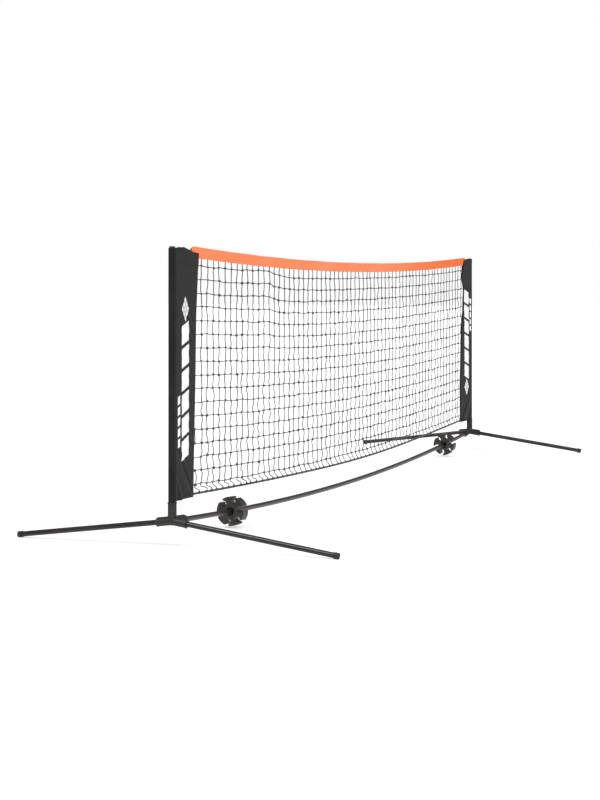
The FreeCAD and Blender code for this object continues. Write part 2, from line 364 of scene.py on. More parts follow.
@dataclass(frozen=True)
class Weave:
    """Plain-woven cloth, read from a UV map in metres.

    Attributes:
        name: The material's name.
        warp: Colour of most of the cloth.
        worn: Colour where the light and wear have bleached it.
        pitch: Distance between neighbouring threads.
        depth: Relief of the threads.
        roughness: Roughness of the cloth.
        sheen: Weight of the soft sheen.
        creases: Relief of the fine random creases.
    """

    name: str
    warp: Colour
    worn: Colour
    pitch: float = 0.0011
    depth: float = 0.00010
    roughness: float = 0.62
    sheen: float = 0.03
    creases: float = 0.9

    def build(self) -> bpy.types.Material:
        """Makes the material."""
        paint = Paint(self.name)
        across, along = paint.flat_place()
        turns = math.tau / self.pitch
        threads = ((across * turns).sine() * (along * turns).sine()).halved()
        slub = paint.noise(260.0, 2.0, (1.0, 1.0, 0.12)).clip(0.45, 0.75)
        cloud = paint.noise(7.0, 4.0).clip(0.36, 0.72)
        crease = paint.noise(46.0, 3.0, (1.0, 1.0, 0.35))
        paint.feed(paint.shader, {
            "Base Color": paint.mix(cloud * 0.6 + slub * 0.2 + threads * 0.2, self.warp, self.worn),
            "Roughness": cloud * 0.10 + (self.roughness - 0.05),
            "Sheen Weight": self.sheen,
            "Sheen Roughness": 0.4,
            "Specular IOR Level": 0.12,
        })
        paint.relief(threads * 0.5 + crease * self.creases, self.depth * 2)
        return paint.material


@dataclass(frozen=True)
class TapeWeb:
    """The bright tape: ribbed weave and lengthwise creases, with painted light that makes it paler towards
    its left end and deeper towards its right end.
    """

    name: str
    bright: Colour = (0.82, 0.186, 0.054, 1.0)
    pale: Colour = (0.84, 0.250, 0.102, 1.0)
    deep: Colour = (0.76, 0.118, 0.000, 1.0)
    rib: float = 0.0016
    thread: float = 0.0011
    depth: float = 0.00022

    def build(self) -> bpy.types.Material:
        """Makes the material."""
        paint = Paint(self.name)
        across, along = paint.flat_place()
        ribs = (along * (math.tau / self.rib)).sine().halved()
        threads = (across * (math.tau / self.thread)).sine().halved()
        streaks = paint.noise(300.0, 3.0, (0.02, 1.0, 1.0))
        cloud = paint.noise(5.0, 3.0).clip(0.35, 0.72)
        mask = cloud * 0.45 + streaks.clip(0.40, 0.68) * 0.40
        # Painted light: the colour runs along X from a paler, lit left end to the deep orange of the right
        # end.
        painted_light_falloff = paint.axis(0).clip(0.2, 1.25)
        paint.feed(paint.shader, {
            "Base Color": paint.mix(painted_light_falloff, paint.mix(mask, self.bright, self.pale), self.deep),
            "Roughness": streaks * 0.14 + 0.46,
            "Sheen Weight": 0.03,
            "Specular IOR Level": 0.2,
        })
        paint.relief(ribs * 0.25 + threads * 0.15 + streaks * 0.9, self.depth)
        return paint.material


@dataclass(frozen=True)
class Yarn:
    """Twisted or braided yarn, read from a UV map: across is round it and along follows it.

    Attributes:
        name: The material's name.
        dark: Colour in the grooves, where shade is painted, and of the darker random patches.
        light: Colour on the strands, where light is painted, and of the paler random patches.
        lay: Length of one turn of the strands.
        strands: How many strands show round it.
        depth: Relief of the strands.
        braided: Whether strands cross both ways.
    """

    name: str
    dark: Colour
    light: Colour
    lay: float
    strands: int
    depth: float
    braided: bool = False

    def build(self) -> bpy.types.Material:
        """Makes the material."""
        paint = Paint(self.name)
        around, along = paint.flat_place()
        turn, climb = around * (math.tau * self.strands), along * (math.tau * self.strands / self.lay)
        ridge = (turn + climb).sine()
        if self.braided:
            ridge = ridge * (turn - climb).sine()
        ridge = ridge.halved()
        fuzz = paint.noise(900.0, 2.0)
        fade = paint.noise(14.0, 3.0).clip(0.35, 0.70)
        paint.feed(paint.shader, {
            # Painted shade and light: the ridge pattern darkens the grooves and lightens the strand tops, and
            # the fade noise varies the tone at random.
            "Base Color": paint.mix(ridge * 0.55 + fade * 0.45, self.dark, self.light),
            "Roughness": fuzz * 0.20 + 0.52,
            "Sheen Weight": 0.10,
        })
        paint.relief(ridge + fuzz * 0.4, self.depth)
        return paint.material


@dataclass(frozen=True)
class PlainFloor:
    """The matt studio floor, lit a little from below like a light table, so its shadows stay faint."""

    name: str
    shade: Colour = grey(0.55)
    glow: float = 0.50

    def build(self) -> bpy.types.Material:
        """Makes the material."""
        paint = Paint(self.name)
        paint.feed(paint.shader, {"Base Color": self.shade, "Roughness": 0.85,
                                  "Emission Color": grey(1.0), "Emission Strength": self.glow})
        return paint.material


class Finish(Enum):
    """Every finish on the net."""

    TUBE = PowderCoat("tube_paint")
    HUB = Moulding("hub_plastic", (0.0145, 0.0135, 0.0120, 1.0), (0.027, 0.025, 0.023, 1.0))
    CAP = Moulding("cap_plastic", grey(0.008), grey(0.018, 0.02), roughness=0.55)
    CLIP = Moulding("clip_plastic", (0.020, 0.016, 0.014, 1.0), (0.046, 0.038, 0.034, 1.0),
                    roughness=0.46, grain=0.00012, grain_scale=700.0)
    CLOTH = Weave("sleeve_cloth", grey(0.008, 0.05), grey(0.019, 0.06))
    # Seam bands: real bands of cloth, made darker than the sleeve to paint the shade along its folded edges.
    BINDING = Weave("sleeve_binding", grey(0.004, 0.02), grey(0.011, 0.03), pitch=0.0017, depth=0.00014,
                    roughness=0.70, sheen=0.02, creases=0.3)
    PRINT = Weave("sleeve_print", grey(0.80), grey(0.90), depth=0.00005, roughness=0.5, sheen=0.0)
    TAPE = TapeWeb("band_tape")
    THREAD = Yarn("sewing_thread", grey(0.030), grey(0.075), 0.0012, 2, 0.00006)
    BRIGHT_THREAD = Yarn("tape_thread", (0.55, 0.09, 0.03, 1.0), (0.85, 0.20, 0.07, 1.0), 0.0012, 2, 0.00006)
    TWINE = Yarn("net_twine", grey(0.020, 0.02), grey(0.070, 0.02), 0.006, 3, 0.00025)
    CORD = Yarn("net_cord", grey(0.006), grey(0.022, 0.02), 0.022, 8, 0.0003, braided=True)
    FLOOR = PlainFloor("studio_floor")

    def material(self) -> bpy.types.Material:
        """This finish's material, made the first time that it is asked for."""
        if self not in MADE:
            MADE[self] = self.value.build()
        return MADE[self]


MADE: dict[Finish, bpy.types.Material] = {}


# ----------------------------------------------------------------------------- modelling helpers


def clear_selection() -> None:
    """Leaves edit mode and deselects everything."""
    if bpy.context.object is not None and bpy.context.mode != "OBJECT":
        bpy.ops.object.mode_set(mode="OBJECT")
    bpy.ops.object.select_all(action="DESELECT")


def pick(piece: bpy.types.Object) -> None:
    """Makes a piece the only selected object and the active one."""
    clear_selection()
    piece.select_set(True)
    bpy.context.view_layer.objects.active = piece


def settle_place(piece: bpy.types.Object) -> None:
    """Moves a piece's place into its mesh and leaves its object at the origin."""
    pick(piece)
    bpy.ops.object.transform_apply(location=True, rotation=True, scale=True)


def finish_with(piece: bpy.types.Object, kind: str, **settings: Any) -> None:
    """Adds a modifier and applies it.

    Args:
        piece: The piece.
        kind: The modifier's type.
        settings: Its properties.
    """
    pick(piece)
    modifier = piece.modifiers.new(kind.title(), kind)
    for key, value in settings.items():
        setattr(modifier, key, value)
    bpy.ops.object.modifier_apply(modifier=modifier.name)


@contextmanager
def editing(piece: bpy.types.Object) -> Iterator[None]:
    """Edit mode on a piece, with everything selected."""
    pick(piece)
    bpy.ops.object.mode_set(mode="EDIT")
    bpy.ops.mesh.select_all(action="SELECT")
    yield
    bpy.ops.object.mode_set(mode="OBJECT")


def new_piece(name: str, points: Sequence[Sequence[float]],
              faces: Sequence[Sequence[int]]) -> bpy.types.Object:
    """Makes a mesh object at the origin.

    Args:
        name: The piece's name.
        points: Its vertices in the net's frame.
        faces: Its faces as vertex indices.

    Returns:
        The object, linked to the scene.
    """
    mesh = bpy.data.meshes.new(name)
    mesh.from_pydata([tuple(p) for p in points], [], [tuple(f) for f in faces])
    mesh.validate()
    piece = bpy.data.objects.new(name, mesh)
    bpy.context.scene.collection.objects.link(piece)
    return piece


def woven_grid(name: str, rows: Sequence[Sequence[Vector]], closed: bool) -> bpy.types.Object:
    """Makes a sheet from rows of points, with a UV map in metres.

    Args:
        name: The piece's name.
        rows: Rows of points, all with the same count.
        closed: Whether each row is a closed loop.

    Returns:
        The sheet.
    """
    count = len(rows[0])
    spans = count if closed else count - 1
    corners = ((0, 0), (0, 1), (1, 1), (1, 0))
    faces = [[(r + dr) * count + (c + dc) % count for dr, dc in corners]
             for r in range(len(rows) - 1) for c in range(spans)]
    piece = new_piece(name, [p for row in rows for p in row], faces)
    middle = rows[len(rows) // 2]
    widths = [(middle[(c + 1) % count] - middle[c]).length for c in range(spans)]
    heights = [(above[0] - below[0]).length for below, above in zip(rows, rows[1:])]
    across, along = list(accumulate(widths, initial=0.0)), list(accumulate(heights, initial=0.0))
    uv = piece.data.uv_layers.new(name="UVMap")
    for face, polygon in enumerate(piece.data.polygons):
        r, c = divmod(face, spans)
        for loop, (dr, dc) in zip(polygon.loop_indices, corners):
            uv.data[loop].uv = (across[c + dc], along[r + dr])
    return piece


def soften(piece: bpy.types.Object, angle: float = 40.0) -> None:
    """Shades a piece smooth, with edges sharper than an angle in degrees kept crisp."""
    pick(piece)
    bpy.ops.object.shade_smooth_by_angle(angle=math.radians(angle))


def thicken(piece: bpy.types.Object, thickness: float) -> None:
    """Gives a sheet its thickness, half to either side, and rounds it off."""
    finish_with(piece, "SOLIDIFY", thickness=thickness, offset=0.0)
    finish_with(piece, "SUBSURF", levels=1, render_levels=1)
    soften(piece, 60)


def dress(piece: bpy.types.Object, finish: Finish) -> None:
    """Gives a piece one finish on all of its slots."""
    if not piece.data.materials:
        piece.data.materials.append(finish.material())
    for slot in piece.material_slots:
        slot.material = finish.material()


def hang(piece: bpy.types.Object, finish: Finish, slot: str, *nodes: str) -> bpy.types.Object:
    """Dresses a soft piece, hangs it on the net's body and hides the CAD nodes that it replaces.

    Args:
        piece: The piece, finished and in place.
        finish: Its finish.
        slot: Not used.
        nodes: The CAD nodes it replaces.

    Returns:
        The piece.
    """
    dress(piece, finish)
    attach(piece, NET_BODY)
    if nodes:
        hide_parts(*nodes)
    log.info("%s: %d faces", piece.name, len(piece.data.polygons))
    return piece


def joined_copies(name: str, pattern: bpy.types.Object, places: Sequence[Matrix]) -> bpy.types.Object:
    """Copies one small shape many times into a single piece.

    Args:
        name: The new piece's name.
        pattern: The shape, about the origin; it is removed afterwards.
        places: Where each copy goes.

    Returns:
        The piece.
    """
    base = [v.co.copy() for v in pattern.data.vertices]
    loops = [tuple(p.vertices) for p in pattern.data.polygons]
    points = [place @ co for place in places for co in base]
    faces = [tuple(i + k * len(base) for i in loop) for k in range(len(places)) for loop in loops]
    bpy.data.objects.remove(pattern, do_unlink=True)
    return new_piece(name, points, faces)


def thread_curve(name: str, paths: Sequence[Sequence[Vector]], radius: float, sides: int = 1,
                 resolution: int = 2) -> bpy.types.Object:
    """Makes round threads along smooth NURBS paths, as one mesh.

    Args:
        name: The piece's name.
        paths: Control points of each thread.
        radius: Radius of the thread.
        sides: The bevel's resolution.
        resolution: Steps from one control point to the next.

    Returns:
        The mesh piece, its ends closed.
    """
    curve = bpy.data.curves.new(name, "CURVE")
    curve.dimensions = "3D"
    curve.bevel_depth, curve.bevel_resolution = radius, sides
    curve.resolution_u = resolution
    curve.use_fill_caps = True
    for path in paths:
        add_spline(curve, path)
    holder = bpy.data.objects.new(name, curve)
    bpy.context.scene.collection.objects.link(holder)
    pick(holder)
    bpy.ops.object.convert(target="MESH")
    return bpy.context.view_layer.objects.active


def add_spline(curve: bpy.types.Curve, path: Sequence[Vector]) -> None:
    """Adds one open NURBS spline of order 3 to a curve, guided by control points."""
    spline = curve.splines.new("NURBS")
    spline.points.add(len(path) - 1)
    for point, place in zip(spline.points, path):
        point.co = (*place, 1.0)
    spline.order_u = 3
    spline.use_endpoint_u = True
    spline.use_smooth = True


# ----------------------------------------------------------------------------------- the net parts


@dataclass
class Frame:
    """The rigid parts that the CAD model gives: they keep their shape and get their finishes.

    Attributes:
        edge: Radius of the rounded edges, by the word in a part's name.
        crisp: Faces that meet at a larger angle than this, in degrees, have a rounded edge.
    """

    edge: dict[str, float] = field(
        default_factory=lambda: {"hub": 0.7 * MM, "clip": 0.8 * MM, "cap": 0.6 * MM})
    crisp: float = 35.0
    weld: float = 0.002 * MM

    def finish_of(self, node: str) -> Finish:
        """The finish of a CAD node, from a word in its name."""
        for word, finish in (("hub", Finish.HUB), ("cap", Finish.CAP), ("clip", Finish.CLIP),
                             ("cord", Finish.CORD)):
            if word in node:
                return finish
        return Finish.TUBE

    def round_edges(self, name: str, node: bpy.types.Object) -> None:
        """Rounds the sharp edges of a moulded part, with modifiers only."""
        for word, radius in self.edge.items():
            if word in name:
                node.modifiers.new("Weld", "WELD").merge_threshold = self.weld
                bevel = node.modifiers.new("Bevel", "BEVEL")
                bevel.width, bevel.segments = radius, 3
                bevel.limit_method, bevel.angle_limit = "ANGLE", math.radians(self.crisp)
                normals = node.modifiers.new("WeightedNormal", "WEIGHTED_NORMAL")
                normals.keep_sharp = False

    def build(self) -> None:
        """Dresses every CAD node."""
        for name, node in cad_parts.items():
            self.round_edges(name, node)
            dress(node, self.finish_of(name))
            log.info("%s: %s", name, self.finish_of(name).name.lower())


class Side(Enum):
    """The two ends of the net, by the direction in X from the post towards the net."""

    LEFT = 1
    RIGHT = -1

    @property
    def word(self) -> str:
        """The side's name as it stands in node names."""
        return self.name.lower()


@dataclass
class Sleeve:
    """A cloth sleeve: a pocket round the post that narrows to two layers beside the net.

    Attributes:
        side: Which post it slides over.
        width: Distance of the inner edge from the post's axis, by height.
        top: Height of the upper edge, by distance from the post's axis.
        bottom: Height of the lower edge, by distance from the post's axis.
        pull: How far the net's upper corner has been pulled towards the net.
        drop: How far the inner edge has slipped down.
        seed: Seed of the small uneven start of the folds.
        pocket: Radius of the pocket round the post.
        taper: Share of the width over which the pocket narrows to the two joined layers.
        flap: Half the distance between the two layers beside the net.
        cloth: Thickness of the cloth.
        reach: How far the simulation may move a point.
        frames: Steps of the simulation.
        slack: How much larger the cloth was cut than the space it hangs in.
        hem: Width of cloth that the seam takes up.
        tape_room: Half the distance between the layers where the tape's end lies inside.
        tape_zone: Heights at which the layers begin to part for the tape and have parted.
        uneven: Size of the uneven start of the folds.
    """

    side: Side
    width: Profile
    top: Profile
    bottom: Profile
    pull: float
    drop: float
    seed: int
    pocket: float = 11.3 * MM
    taper: float = 0.88
    flap: float = 1.5 * MM
    cloth: float = 1.0 * MM
    rows: int = 104
    panel_steps: int = 28
    pocket_steps: int = 9
    reach: float = 8.0 * MM
    frames: int = 34
    slack: float = 0.006
    hem: float = 13.0 * MM
    tape_room: float = 3.6 * MM
    tape_zone: tuple[float, float] = (0.800, 0.835)
    uneven: float = 0.4 * MM

    def __post_init__(self) -> None:
        """Reads the post's axis from the frame."""
        low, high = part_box(f"{self.side.word}_post")
        self.post_x = (low.x + high.x) / 2
        self.inward = self.side.value

    def at(self, inset: float, y: float, z: float) -> Vector:
        """A point by its distance from the post's axis towards the net."""
        return Vector((self.post_x + self.inward * inset, y, z))

    def half_depth(self, inset: float, z: float) -> float:
        """Half the distance between the two layers, which part round the tape's end."""
        lean = (self.pocket - self.flap) / (self.taper * self.width(z))
        touch = self.pocket * lean
        if inset < touch:
            return math.sqrt(max(self.pocket ** 2 - inset ** 2, 0.0))
        flat = self.flap + (self.tape_room - self.flap) * smooth(*self.tape_zone, z)
        return max(flat, self.pocket * math.sqrt(1 - lean * lean) - (inset - touch) * lean)

    def section(self, share: float) -> list[Vector]:
        """One closed row of the sleeve.

        Args:
            share: 0 at the lower edge and 1 at the upper edge.

        Returns:
            Points from the inner edge, along the front layer, round the post and back.
        """
        def height(inset: float) -> float:
            return self.bottom(inset) + (self.top(inset) - self.bottom(inset)) * share

        width = self.width(height(0.13))
        insets = [part * width for part in steps(0.02, 1.0, self.panel_steps)]
        back = [self.at(inset, self.half_depth(inset, height(inset)), height(inset)) for inset in insets]
        front = [Vector((place.x, -place.y, place.z)) for place in reversed(back)]
        z = height(0.0)
        turn = [self.at(-self.pocket * math.sin(a), -self.pocket * math.cos(a), z)
                for a in steps(0.0, math.pi, self.pocket_steps + 2)[1:-1]]
        tip = self.at(width + self.flap * 0.7, 0.0, height(width))
        return [tip] + front + turn + back

    def cloth_sheet(self) -> bpy.types.Object:
        """The sleeve as a single layer of cloth, before it has settled."""
        rows = [self.section(share) for share in steps(0.0, 1.0, self.rows)]
        return woven_grid(f"{self.side.word}_sleeve_cloth", rows, closed=True)

    def hold_of(self, column: int) -> float:
        """How firmly a column of points is held: by the seam, by the post, or not at all."""
        if column in (0, 1, self.panel_steps * 2 + self.pocket_steps):
            return 1.0
        if self.panel_steps - 1 <= column <= self.panel_steps + self.pocket_steps + 2:
            return 0.85
        return 0.0

    def settle(self, sheet: bpy.types.Object) -> None:
        """Lets the cloth wrinkle under the pull of the net, by simulation.

        Args:
            sheet: The flat-hung sleeve; its points end where the cloth has settled.
        """
        start = [v.co.copy() for v in sheet.data.vertices]
        count = len(start) // self.rows
        held = sheet.vertex_groups.new(name="held")
        for column in range(count):
            weight = self.hold_of(column)
            if weight:
                held.add([r * count + column for r in range(self.rows)], weight, "REPLACE")
        sheet.shape_key_add(name="hung")
        key = sheet.shape_key_add(name="pulled")
        for point, place in zip(key.data, self.pulled(start, count)):
            point.co = place
        for when, value in ((1, 0.0), (12, 1.0)):
            key.value = value
            key.keyframe_insert("value", frame=when)
        cloth = sheet.modifiers.new("Cloth", "CLOTH")
        for setting, value in {"vertex_group_mass": held.name, "quality": 6, "mass": 0.12,
                               "tension_stiffness": 25.0, "compression_stiffness": 25.0,
                               "shear_stiffness": 12.0, "bending_stiffness": 0.12, "shrink_min": -self.slack,
                               "use_pressure": True, "uniform_pressure_force": 0.10}.items():
            setattr(cloth.settings, setting, value)
        cloth.settings.effector_weights.gravity = 0.05
        cloth.collision_settings.use_collision = False
        cloth.point_cache.frame_end = self.frames
        for step in range(1, self.frames + 1):
            bpy.context.scene.frame_set(step)
        settled = sheet.evaluated_get(bpy.context.evaluated_depsgraph_get())
        places = [v.co.copy() for v in settled.data.vertices]
        sheet.shape_key_clear()
        sheet.modifiers.clear()
        sheet.animation_data_clear()
        bpy.context.scene.frame_set(1)
        for vertex, before, after in zip(sheet.data.vertices, start, places):
            vertex.co = self.capped(before, after)

    def pulled(self, start: Sequence[Vector], count: int) -> list[Vector]:
        """Where the held edges go when the net hangs on them.

        Args:
            start: The points before.
            count: Points in a row.

        Returns:
            The points, moved where the net pulls at them and slightly uneven elsewhere.
        """
        rng = random.Random(self.seed)
        moved = []
        for index, place in enumerate(start):
            share, column = index // count / (self.rows - 1), index % count
            inset = (place.x - self.post_x) * self.inward
            edge = smooth(0.3, 1.0, inset / self.width(place.z))
            corner = smooth(0.72, 1.0, share) - 0.35 * smooth(0.25, 0.0, share)
            ruck = rng.uniform(-1, 1) * self.uneven if self.hold_of(column) == 0 else 0.0
            moved.append(place + Vector((self.inward * self.pull * corner * edge, ruck, -self.drop * edge)))
        return moved

    def capped(self, before: Vector, after: Vector) -> Vector:
        """Keeps a settled point near its start, on its own side and off the post.

        Args:
            before: The point's place before the simulation.
            after: Its place afterwards.

        Returns:
            The place to use.
        """
        move = after - before
        if move.length > self.reach:
            move *= self.reach / move.length
        place = before + move
        if abs(before.y) > 1e-6:
            way = math.copysign(1.0, before.y)
            place.y = way * max(abs(place.y), min(abs(before.y), 1.2 * MM))
        from_post = Vector((place.x - self.post_x, place.y))
        clear = self.pocket - 0.4 * MM
        if from_post.length < clear:
            place.xy = Vector((self.post_x, 0.0)) + from_post.normalized() * clear
        return place

    def strip(self, name: str, sheet: bpy.types.Object, rows: Sequence[int], columns: Sequence[int],
              lift: float, thick: float) -> bpy.types.Object:
        """A band sewn on the cloth: some of its points, lifted off it and given a thickness.

        Args:
            name: The band's name.
            sheet: The settled sleeve.
            rows: The rows that the band covers.
            columns: The columns that it covers; all of them make it a closed ring.
            lift: How far it stands off the cloth's middle.
            thick: Its thickness.

        Returns:
            The band.
        """
        lifted = [[self.on_cloth(sheet, r, c, lift) for c in columns] for r in rows]
        piece = woven_grid(name, lifted, closed=len(columns) == self.count(sheet))
        thicken(piece, thick)
        return piece

    def count(self, sheet: bpy.types.Object) -> int:
        """How many points a row of the cloth has."""
        return len(sheet.data.vertices) // self.rows

    def on_cloth(self, sheet: bpy.types.Object, row: int, column: int, lift: float) -> Vector:
        """A point on the cloth by its row and column, lifted off it along the surface's normal."""
        count = self.count(sheet)
        vertex = sheet.data.vertices[row * count + column % count]
        return vertex.co + vertex.normal * lift

    def stitches(self, sheet: bpy.types.Object) -> bpy.types.Object:
        """The threads along the inner binding, on both faces, and round the bottom binding and top hem.

        Args:
            sheet: The settled sleeve.

        Returns:
            All of them as one piece.
        """
        above = 1.75 * MM
        lines = [[self.on_cloth(sheet, row, column, above) for row in range(self.rows)] for column in (2, -2)]
        lines += [[self.on_cloth(sheet, row, column, lift) for column in range(3, self.count(sheet) - 1)]
                  for row, lift in ((1, above), (self.rows - 3, 1.4 * MM))]
        paths = [[first.lerp(second, share) for share in (start, (start + end) / 2, end)]
                 for line in lines for first, second in zip(line, line[1:])
                 for start, end in ((0.08, 0.42), (0.58, 0.92))]
        piece = thread_curve(f"{self.side.word}_sleeve_stitches", paths, 0.32 * MM, sides=0, resolution=1)
        soften(piece, 60)
        return piece

    def build(self) -> None:
        """Makes the sleeve with its hems, stitches and print."""
        word = self.side.word
        sheet = self.cloth_sheet()
        self.settle(sheet)
        every = range(self.count(sheet))
        top_hem = self.strip(f"{word}_sleeve_top_hem", sheet, range(self.rows - 3, self.rows), every,
                             0.9 * MM, 0.7 * MM)
        bands = [self.strip(f"{word}_sleeve_bottom_binding", sheet, (0, 1), every, 1.0 * MM, 1.3 * MM),
                 self.strip(f"{word}_sleeve_inner_binding", sheet, range(self.rows), (-2, -1, 0, 1, 2),
                            0.95 * MM, 1.1 * MM)]
        threads = self.stitches(sheet)
        thicken(sheet, self.cloth)
        hang(sheet, Finish.CLOTH, "sleeve_cloth", f"{word}_sleeve")
        hems = [hang(top_hem, Finish.CLOTH, "sleeve_cloth"), hang(threads, Finish.THREAD, "sleeve_cloth")]
        # The seam bands take the darker cloth that paints the shade along the sleeve's edges.
        hems += [hang(band, Finish.BINDING, "sleeve_cloth") for band in bands]
        marks = SleevePrint(self, sheet).build()
        around = 2 * self.width(0.5) + 2 * self.pocket * math.pi / 2 + 2 * self.hem
        hems + marks


@dataclass
class SleevePrint:
    """The plain white print on a sleeve's front: a lattice diamond over slanted bars, with small bars.

    Attributes:
        sleeve: The sleeve that carries it.
        cloth: The sleeve's finished cloth piece.
        low: Height of the print's lower end.
        high: Height of its upper end.
        middle: Distance of its middle line from the post's axis.
        slant: Rise of each bar's ends, as a share of its width.
        diamond: Height of the lattice diamond.
        squash: Its width as a share of its height.
        cells: Lozenges along each side of it.
        small_across: Middle line of the small bars, across the print.
        small_start: Middle of the first small bar, along the print.
    """

    sleeve: Sleeve
    cloth: bpy.types.Object
    low: float = 0.247
    high: float = 0.725
    middle: float = 0.070
    bar_width: float = 0.052
    bar_height: float = 0.056
    bar_gap: float = 0.011
    bars: int = 6
    slant: float = 0.30
    diamond: float = 0.078
    squash: float = 0.72
    cells: int = 3
    small_across: float = -0.047
    small_start: float = 0.052
    small_pitch: float = 0.031
    small_size: tuple[float, float] = (0.017, 0.023)
    small_bars: int = 5

    def placed(self, across: float, up: float) -> Vector:
        """A point in front of the sleeve, from the print's own upright layout.

        Args:
            across: Distance from the print's middle line, away from the post.
            up: Distance above the print's lower end.

        Returns:
            The point; on the right sleeve the whole print stands on its head.
        """
        z = self.low + up if self.sleeve.side is Side.LEFT else self.high - up
        return self.sleeve.at(self.middle + across, -30 * MM, z)

    def bar(self, name: str, across: float, up: float, width: float, height: float) -> bpy.types.Object:
        """One slanted bar, cut from a fine grid by two leaning planes.

        Args:
            name: The piece's name.
            across: Middle of the bar, across the print.
            up: Middle of the bar, along the print.
            width: Size across the print.
            height: Size along the print.

        Returns:
            The flat bar in front of the sleeve.
        """
        place = self.placed(across, up)
        lean = self.slant * width
        clear_selection()
        bpy.ops.mesh.primitive_grid_add(x_subdivisions=14, y_subdivisions=22, size=1.0, location=place,
                                        rotation=(math.pi / 2, 0, 0))
        piece = bpy.context.object
        piece.name = piece.data.name = name
        piece.scale = (width, height + 2 * lean, 1.0)
        settle_place(piece)
        for way in (1, -1):
            with editing(piece):
                bpy.ops.mesh.bisect(plane_co=place + Vector((0, 0, way * height / 2)), clear_outer=True,
                                    plane_no=(-self.sleeve.inward * self.slant * way, 0, way))
        return piece

    def lozenge(self, name: str, across: float, up: float, size: float) -> bpy.types.Object:
        """One rhombus of the lattice diamond: a square grid turned on its corner and drawn out upwards."""
        clear_selection()
        place = self.placed(across, up)
        bpy.ops.mesh.primitive_grid_add(x_subdivisions=6, y_subdivisions=6, size=1.0)
        piece = bpy.context.object
        piece.name = piece.data.name = name
        piece.rotation_euler = (0, 0, math.pi / 4)
        piece.scale = (size / math.sqrt(2), size / math.sqrt(2), 1.0)
        settle_place(piece)
        piece.rotation_euler = (math.pi / 2, 0, 0)
        piece.scale = (self.squash, 1.0, 1.0)
        piece.location = place
        settle_place(piece)
        return piece

    def pressed(self, name: str, shapes: Sequence[bpy.types.Object]) -> bpy.types.Object:
        """Joins flat shapes and presses them onto the cloth as a thin layer of ink.

        Args:
            name: The printed piece's name.
            shapes: Flat shapes in front of the sleeve.

        Returns:
            The printed piece.
        """
        piece = shapes[0]
        pick(piece)
        for shape in shapes:
            shape.select_set(True)
        bpy.ops.object.join()
        piece.name = piece.data.name = name
        finish_with(piece, "SHRINKWRAP", target=self.cloth, wrap_method="PROJECT", use_project_y=True,
                    use_negative_direction=True, use_positive_direction=True, project_limit=0.06,
                    offset=0.25 * MM, wrap_mode="ABOVE_SURFACE")
        finish_with(piece, "SOLIDIFY", thickness=0.18 * MM, offset=0.0)
        self.map_flat(piece)
        soften(piece, 50)
        return hang(piece, Finish.PRINT, "sleeve_cloth")

    def map_flat(self, piece: bpy.types.Object) -> None:
        """Gives a printed piece a UV map in metres, straight through the print."""
        while piece.data.uv_layers:
            piece.data.uv_layers.remove(piece.data.uv_layers[0])
        layer = piece.data.uv_layers.new(name="UVMap")
        for loop in piece.data.loops:
            place = piece.data.vertices[loop.vertex_index].co
            layer.data[loop.index].uv = (place.x, place.z)

    def build(self) -> list[bpy.types.Object]:
        """Makes the print.

        Returns:
            Its pieces.
        """
        word = self.sleeve.side.word
        pitch = self.bar_height + self.bar_gap
        bars = [self.bar(f"bar{k}", 0.0, (k + 0.5) * pitch, self.bar_width, self.bar_height)
                for k in range(self.bars)]
        small = [self.bar(f"small{k}", self.small_across, self.small_start + k * self.small_pitch,
                          *self.small_size) for k in range(self.small_bars)]
        top = self.high - self.low - self.diamond / 2
        cell = self.diamond / self.cells
        shapes = [self.lozenge(f"lozenge{i}{j}", (i - j) * cell * self.squash / 2,
                               top + (i + j - self.cells + 1) * cell / 2, cell * 0.80)
                  for i in range(self.cells) for j in range(self.cells)]
        return [self.pressed(f"{word}_sleeve_print_bars", bars),
                self.pressed(f"{word}_sleeve_print_small", small),
                self.pressed(f"{word}_sleeve_print_diamond", shapes)]


